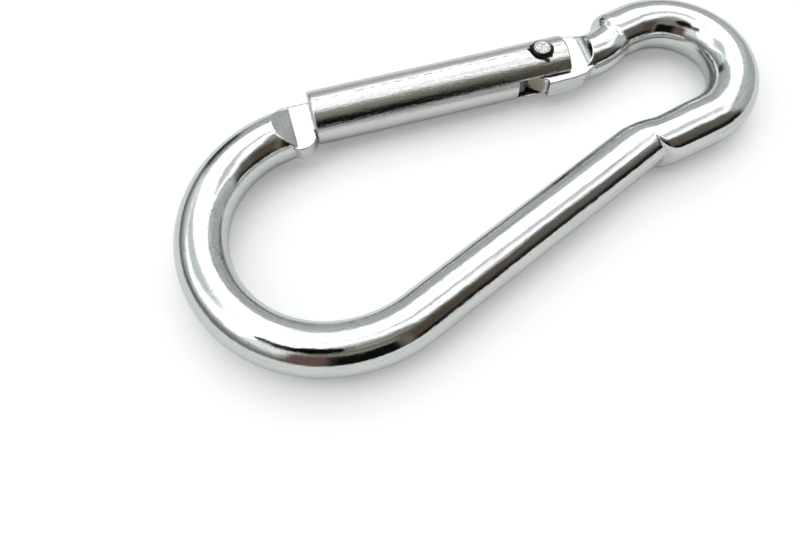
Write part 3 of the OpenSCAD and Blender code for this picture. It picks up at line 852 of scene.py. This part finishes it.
def paper():
    "white paper, which the camera sees a little brighter than it is lit"
    material, tree, shader = make_material("white_paper")
    place = node(tree, "TexCoord").outputs["Object"]
    tone = blend(tree, noise(tree, place, 60, 3), rgb(0.935, 0.952, 0.943), rgb(0.95, 0.967, 0.958))
    tree.links.new(tone, shader.inputs["Base Color"])
    shader.inputs["Metallic"].default_value = 0.0
    shader.inputs["Roughness"].default_value = 0.85
    shader.inputs["Specular IOR Level"].default_value = 0.2
    shader.inputs["Emission Color"].default_value = (1, 1, 1, 1)
    seen = node(tree, "LightPath").outputs["Is Camera Ray"]
    tree.links.new(calc(tree, "MULTIPLY", seen, 0.2), shader.inputs["Emission Strength"])
    return material


# The pieces take their materials and ride on their bodies in place of the part's own

for piece, material, cad, slot, moves in (
        (hook, plating(), "body", "body", "hook"),
        (tube, satin(), "gate", "gate", "gate"),
        (rivet, rivet_look(), "rivet", "rivet", "gate"),
        (spring, dull("spring_wire", 0.36, 0.2, 0.3, 2500), "spring", "spring", "gate")):
    piece.data.materials.append(material)
    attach(piece, moves)
    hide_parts(cad)
oily = dull("oily_steel", 0.16, 0.05, 0.25, 900)
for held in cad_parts["plunger"].material_slots:
    held.material = oily
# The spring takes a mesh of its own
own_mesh(spring)


# The table, the room and the camera


def make_floor():
    "the table top under the hook, which takes its shadow"
    half = 2.5
    corners = [(-half, -half, 0), (half, -half, 0), (half, half, 0), (-half, half, 0)]
    mesh = bpy.data.meshes.new("floor")
    mesh.from_pydata(corners, [], [(0, 1, 2, 3)])
    mesh.materials.append(paper())
    made = bpy.data.objects.new("floor", mesh)
    bpy.context.collection.objects.link(made)
    return made


def studio():
    "the room that the plating mirrors, as layers over pale walls; the camera itself sees white"
    made = bpy.data.worlds.new("studio")
    made.use_nodes = True
    tree = made.node_tree
    tree.nodes.clear()
    direction = node(tree, "TexCoord").outputs["Generated"]
    x, y, z = node(tree, "SeparateXYZ", {0: direction}).outputs
    # Degrees round the room from the hook's length, and degrees up from the table
    turn = calc(tree, "MULTIPLY", calc(tree, "ARCTAN2", y, x), 180 / np.pi)
    rise = calc(tree, "MULTIPLY", calc(tree, "ARCSINE", z), 180 / np.pi)
    # Where the direction meets a ceiling one unit up, and how far to the right that is
    high = calc(tree, "MAXIMUM", z, 0.05)
    across, back = calc(tree, "DIVIDE", x, high), calc(tree, "DIVIDE", y, high)
    rightwards = calc(tree, "MAXIMUM", across, 0)

    def patch(turns, rises):
        "a soft-edged patch of the room, by its degrees round and up"
        return calc(tree, "MULTIPLY", window(tree, turn, *turns), window(tree, rise, *rises))

    walls = blend(tree, ramp(tree, rise, -4, 46), rgb(0.44, 0.47, 0.46), rgb(0.72, 0.77, 0.76))
    left_walls = blend(tree, ramp(tree, rise, 8, 36), rgb(0.20, 0.22, 0.21), rgb(1.05, 1.10, 1.08))
    mottle = noise(tree, direction, 5, 4, 0.6)
    post = calc(tree, "MULTIPLY", window(tree, turn, 86, 93, 101, 106), fall(tree, rise, 16, 34))
    # The soft light overhead is a wide panel with a grey strip in it, dark along one edge
    near_edge = calc(tree, "ADD", back, calc(tree, "MULTIPLY", rightwards, 0.8))
    panel = chain(tree, "MULTIPLY", window(tree, across, -1.75, -1.6, 0.95, 1.12),
                  ramp(tree, near_edge, -0.2, -0.08), fall(tree, back, 1.12, 1.28))
    from_strip = calc(tree, "SUBTRACT", calc(tree, "ADD", back, calc(tree, "MULTIPLY", across, 0.3)), 0.12)
    strip_half = calc(tree, "ADD", calc(tree, "MULTIPLY", rightwards, 0.2), 0.03)
    in_strip = calc(tree, "DIVIDE", calc(tree, "ABSOLUTE", from_strip), strip_half)
    strip_run = window(tree, across, -0.2, -0.1, 0.7, 0.95)
    strip = calc(tree, "MULTIPLY", fall(tree, in_strip, 0.7, 1.1), strip_run)
    strip_edge = chain(tree, "MULTIPLY", window(tree, in_strip, 0.95, 1.02, 1.08, 1.15), strip_run,
                       ramp(tree, from_strip, 0.02, -0.02))
    # Whoever stands in front of the table, paler above, with a darker side and a dark corner
    figure = blend(tree, ramp(tree, rise, 52, 76), rgb(0.25, 0.25, 0.20), rgb(0.46, 0.45, 0.42))
    side = blend(tree, ramp(tree, turn, -60, -42), rgb(0.10, 0.078, 0.06), rgb(0.15, 0.145, 0.13))
    corner = calc(tree, "MULTIPLY", fall(tree, turn, -152, -135), window(tree, rise, 50, 55, 62, 67))
    # The camera mirrored in the top of the bar
    toward = node(tree, "VectorMath", {0: direction, 1: (-0.314, -0.349, 0.883)}, operation="DOT_PRODUCT")
    lens = ramp(tree, toward.outputs["Value"], 0.976, 0.986)
    seen = node(tree, "LightPath").outputs["Is Camera Ray"]

    light = walls
    for amount, colour in (
            (ramp(tree, calc(tree, "ABSOLUTE", turn), 96, 104), left_walls),
            (ramp(tree, mottle, 0.42, 0.62, 0, 0.35), rgb(0.30, 0.32, 0.31)),
            (post, rgb(0.05, 0.065, 0.06)),
            (panel, rgb(1.8, 1.8, 1.8)),
            (strip, rgb(0.80, 0.80, 0.84)),
            (strip_edge, rgb(0.20, 0.20, 0.21)),
            (patch((92, 106, 132, 152), (34, 44, 56, 68)), rgb(0.72, 0.77, 0.80)),
            (patch((-152, -134, -62, -46), (-2, 4, 70, 81)), figure),
            (patch((-82, -72, -40, -27), (-6, -1, 42, 60)), side),
            (patch((-152, -140, -122, -114), (-2, 6, 38, 46)), rgb(0.16, 0.10, 0.095)),
            (corner, rgb(0.035, 0.035, 0.045)),
            (patch((-126, -115, -84, -76), (-2, 3, 36, 44)), rgb(0.006, 0.007, 0.006)),
            (patch((-78, -68, -36, -28), (-6, -3, 10, 22)), rgb(0.012, 0.012, 0.012)),
            (lens, rgb(0.005, 0.005, 0.005)),
            (seen, rgb(1, 1, 1))):
        light = blend(tree, amount, light, colour)
    sky = node(tree, "Background", {"Color": light, "Strength": 1.0})
    tree.links.new(sky.outputs[0], node(tree, "OutputWorld").inputs[0])
    return made


def make_camera():
    "the camera, placed and turned as fitted to the hook's outline in the photograph"
    place = (-0.060827, -0.073118, 0.141951)
    heading, down, roll = np.radians((61.448, 63.926, 0.010))
    data = bpy.data.cameras.new("camera")
    data.lens = 33.354
    data.sensor_width = 36
    data.clip_start = 0.005
    ahead = np.array([np.cos(down) * np.cos(heading), np.cos(down) * np.sin(heading), -np.sin(down)])
    level = np.array([np.sin(heading), -np.cos(heading), 0])
    upright = np.cross(level, ahead)
    matrix = np.eye(4)
    matrix[:3, 0] = level * np.cos(roll) + upright * np.sin(roll)
    matrix[:3, 1] = upright * np.cos(roll) - level * np.sin(roll)
    matrix[:3, 2] = -ahead
    matrix[:3, 3] = place
    made = bpy.data.objects.new("camera", data)
    made.matrix_world = Matrix(matrix.tolist())
    bpy.context.collection.objects.link(made)
    return made


floor = make_floor()
scene = bpy.context.scene
scene.world = studio()
scene.camera = make_camera()
scene.view_settings.view_transform = "Standard"
